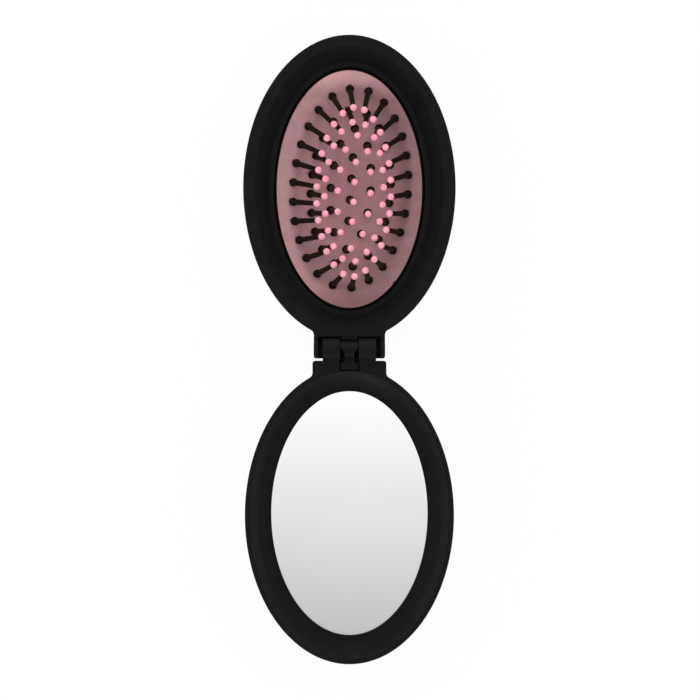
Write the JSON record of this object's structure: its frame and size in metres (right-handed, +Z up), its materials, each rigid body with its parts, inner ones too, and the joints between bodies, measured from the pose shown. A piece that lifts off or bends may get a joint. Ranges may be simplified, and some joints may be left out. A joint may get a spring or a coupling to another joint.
{
  "type": "folding hairbrush with mirror",
  "caption": "Oval pocket hairbrush that folds shut over a mirror, with a pop-out pin cushion worked by a push plate in its back.",
  "frame": {"origin": "on the surface the open brush lies on, below the middle of the fold axis", "axes": "+Z up out of the mirror and the bristles, +Y from the fold axis to the far end of the brush half, X along the fold axis"},
  "size_m": [0.0638, 0.189, 0.0218],
  "materials": {
    "black_plastic": "moulded black plastic, satin",
    "plate_plastic": "moulded black plastic, satin",
    "pink_rubber": "matt pink rubber with a fine grain",
    "pin_plastic": "black nylon",
    "tip_plastic": "pink ball tips",
    "steel": "blackened steel wire",
    "mirror": "silvered glass",
    "adhesive_foam": "white adhesive foam"
  },
  "bodies": {
    "brush_half": {"brush_frame": "black_plastic", "cushion_clamp_ring": "black_plastic", "cushion": "pink_rubber", "brush_back_shell": "black_plastic", "hinge_pin": "steel"},
    "mirror_half": {"mirror_frame": "black_plastic", "hinge_clip": "black_plastic", "mirror_glass": "mirror", "mirror_adhesive_pad": "adhesive_foam", "mirror_back_shell": "black_plastic"},
    "cushion_centre": {"push_plate": "plate_plastic", "centre_pins": "pin_plastic", "centre_pin_tips": "tip_plastic"},
    "outer_group_1": {"outer_pins_1": "pin_plastic", "outer_pin_tips_1": "tip_plastic"},
    "outer_group_2": {"outer_pins_2": "pin_plastic", "outer_pin_tips_2": "tip_plastic"},
    "outer_group_3": {"outer_pins_3": "pin_plastic", "outer_pin_tips_3": "tip_plastic"},
    "outer_group_4": {"outer_pins_4": "pin_plastic", "outer_pin_tips_4": "tip_plastic"},
    "outer_group_5": {"outer_pins_5": "pin_plastic", "outer_pin_tips_5": "tip_plastic"},
    "outer_group_6": {"outer_pins_6": "pin_plastic", "outer_pin_tips_6": "tip_plastic"},
    "outer_group_7": {"outer_pins_7": "pin_plastic", "outer_pin_tips_7": "tip_plastic"},
    "outer_group_8": {"outer_pins_8": "pin_plastic", "outer_pin_tips_8": "tip_plastic"},
    "outer_group_9": {"outer_pins_9": "pin_plastic", "outer_pin_tips_9": "tip_plastic"},
    "outer_group_10": {"outer_pins_10": "pin_plastic", "outer_pin_tips_10": "tip_plastic"},
    "middle_group_1": {"middle_pins_1": "pin_plastic", "middle_pin_tips_1": "tip_plastic"},
    "middle_group_2": {"middle_pins_2": "pin_plastic", "middle_pin_tips_2": "tip_plastic"},
    "middle_group_3": {"middle_pins_3": "pin_plastic", "middle_pin_tips_3": "tip_plastic"},
    "middle_group_4": {"middle_pins_4": "pin_plastic", "middle_pin_tips_4": "tip_plastic"},
    "middle_group_5": {"middle_pins_5": "pin_plastic", "middle_pin_tips_5": "tip_plastic"},
    "middle_group_6": {"middle_pins_6": "pin_plastic", "middle_pin_tips_6": "tip_plastic"},
    "middle_group_7": {"middle_pins_7": "pin_plastic", "middle_pin_tips_7": "tip_plastic"},
    "middle_group_8": {"middle_pins_8": "pin_plastic", "middle_pin_tips_8": "tip_plastic"}
  },
  "joints": [
    {"name": "fold", "type": "hinge", "parent": "brush_half", "child": "mirror_half", "pos_m": [0, 0, 0.01815], "axis": [-1, 0, 0], "range_deg": [0, 180]},
    {"name": "cushion_pop", "type": "slide", "parent": "brush_half", "child": "cushion_centre", "axis": [0, 0, 1], "range_m": [0, 0.007], "deforming": ["cushion"]},
    {"name": "outer_tilt_1", "type": "hinge", "parent": "brush_half", "child": "outer_group_1", "pos_m": [0.01243, 0.07713, 0.0118], "axis": [-0.7102, 0.704, 0], "range_deg": [0, 33.3]},
    {"name": "outer_tilt_2", "type": "hinge", "parent": "brush_half", "child": "outer_group_2", "pos_m": [0.02124, 0.05999, 0.0118], "axis": [-0.2227, 0.9749, 0], "range_deg": [0, 35.2]},
    {"name": "outer_tilt_3", "type": "hinge", "parent": "brush_half", "child": "outer_group_3", "pos_m": [0.02328, 0.04378, 0.0118], "axis": [0.0918, 0.9958, 0], "range_deg": [0, 32]},
    {"name": "outer_tilt_4", "type": "hinge", "parent": "brush_half", "child": "outer_group_4", "pos_m": [0.01959, 0.02675, 0.0118], "axis": [0.4754, 0.8798, 0], "range_deg": [0, 26.8]},
    {"name": "outer_tilt_5", "type": "hinge", "parent": "brush_half", "child": "outer_group_5", "pos_m": [0.00541, 0.01245, 0.0118], "axis": [0.9594, 0.2819, 0], "range_deg": [0, 22.8]},
    {"name": "outer_tilt_6", "type": "hinge", "parent": "brush_half", "child": "outer_group_6", "pos_m": [-0.01319, 0.01961, 0.0118], "axis": [0.719, -0.695, 0], "range_deg": [0, 28.6]},
    {"name": "outer_tilt_7", "type": "hinge", "parent": "brush_half", "child": "outer_group_7", "pos_m": [-0.02163, 0.03805, 0.0118], "axis": [0.2098, -0.9778, 0], "range_deg": [0, 34.9]},
    {"name": "outer_tilt_8", "type": "hinge", "parent": "brush_half", "child": "outer_group_8", "pos_m": [-0.02276, 0.05457, 0.0118], "axis": [-0.1165, -0.9932, 0], "range_deg": [0, 34.5]},
    {"name": "outer_tilt_9", "type": "hinge", "parent": "brush_half", "child": "outer_group_9", "pos_m": [-0.01798, 0.07121, 0.0118], "axis": [-0.5116, -0.8592, 0], "range_deg": [0, 30.8]},
    {"name": "outer_tilt_10", "type": "hinge", "parent": "brush_half", "child": "outer_group_10", "pos_m": [-0.00385, 0.08352, 0.0118], "axis": [-0.9737, -0.2278, 0], "range_deg": [0, 27.9]},
    {"name": "middle_tilt_1", "type": "hinge", "parent": "cushion_centre", "child": "middle_group_1", "pos_m": [0.00419, 0.06359, 0.00584], "axis": [-0.6478, 0.7618, 0], "range_deg": [0, 17.5]},
    {"name": "middle_tilt_2", "type": "hinge", "parent": "cushion_centre", "child": "middle_group_2", "pos_m": [0.00935, 0.05306, 0.00577], "axis": [-0.1448, 0.9895, 0], "range_deg": [0, 17.8]},
    {"name": "middle_tilt_3", "type": "hinge", "parent": "cushion_centre", "child": "middle_group_3", "pos_m": [0.00772, 0.04009, 0.00568], "axis": [0.3271, 0.945, 0], "range_deg": [0, 15.6]},
    {"name": "middle_tilt_4", "type": "hinge", "parent": "cushion_centre", "child": "middle_group_4", "pos_m": [0.00112, 0.03246, 0.00581], "axis": [0.929, 0.3701, 0], "range_deg": [0, 13.4]},
    {"name": "middle_tilt_5", "type": "hinge", "parent": "cushion_centre", "child": "middle_group_5", "pos_m": [-0.00423, 0.03413, 0.00578], "axis": [0.6557, -0.755, 0], "range_deg": [0, 15.8]},
    {"name": "middle_tilt_6", "type": "hinge", "parent": "cushion_centre", "child": "middle_group_6", "pos_m": [-0.00944, 0.04498, 0.00576], "axis": [0.1218, -0.9926, 0], "range_deg": [0, 17.4]},
    {"name": "middle_tilt_7", "type": "hinge", "parent": "cushion_centre", "child": "middle_group_7", "pos_m": [-0.00745, 0.05807, 0.0057], "axis": [-0.3733, -0.9277, 0], "range_deg": [0, 16.1]},
    {"name": "middle_tilt_8", "type": "hinge", "parent": "cushion_centre", "child": "middle_group_8", "pos_m": [-0.00089, 0.0655, 0.0059], "axis": [-0.9533, -0.3021, 0], "range_deg": [0, 15]}
  ],
  "couplings": [
    {"joint": "outer_tilt_1", "follows": "cushion_pop", "rad_per_m": 81.781},
    {"joint": "outer_tilt_2", "follows": "cushion_pop", "rad_per_m": 86.519},
    {"joint": "outer_tilt_3", "follows": "cushion_pop", "rad_per_m": 78.54},
    {"joint": "outer_tilt_4", "follows": "cushion_pop", "rad_per_m": 65.575},
    {"joint": "outer_tilt_5", "follows": "cushion_pop", "rad_per_m": 55.601},
    {"joint": "outer_tilt_6", "follows": "cushion_pop", "rad_per_m": 70.062},
    {"joint": "outer_tilt_7", "follows": "cushion_pop", "rad_per_m": 85.77},
    {"joint": "outer_tilt_8", "follows": "cushion_pop", "rad_per_m": 84.773},
    {"joint": "outer_tilt_9", "follows": "cushion_pop", "rad_per_m": 75.548},
    {"joint": "outer_tilt_10", "follows": "cushion_pop", "rad_per_m": 68.317},
    {"joint": "middle_tilt_1", "follows": "cushion_pop", "rad_per_m": 42.387},
    {"joint": "middle_tilt_2", "follows": "cushion_pop", "rad_per_m": 43.135},
    {"joint": "middle_tilt_3", "follows": "cushion_pop", "rad_per_m": 37.649},
    {"joint": "middle_tilt_4", "follows": "cushion_pop", "rad_per_m": 32.164},
    {"joint": "middle_tilt_5", "follows": "cushion_pop", "rad_per_m": 38.148},
    {"joint": "middle_tilt_6", "follows": "cushion_pop", "rad_per_m": 42.137},
    {"joint": "middle_tilt_7", "follows": "cushion_pop", "rad_per_m": 38.896},
    {"joint": "middle_tilt_8", "follows": "cushion_pop", "rad_per_m": 36.153}
  ]
}
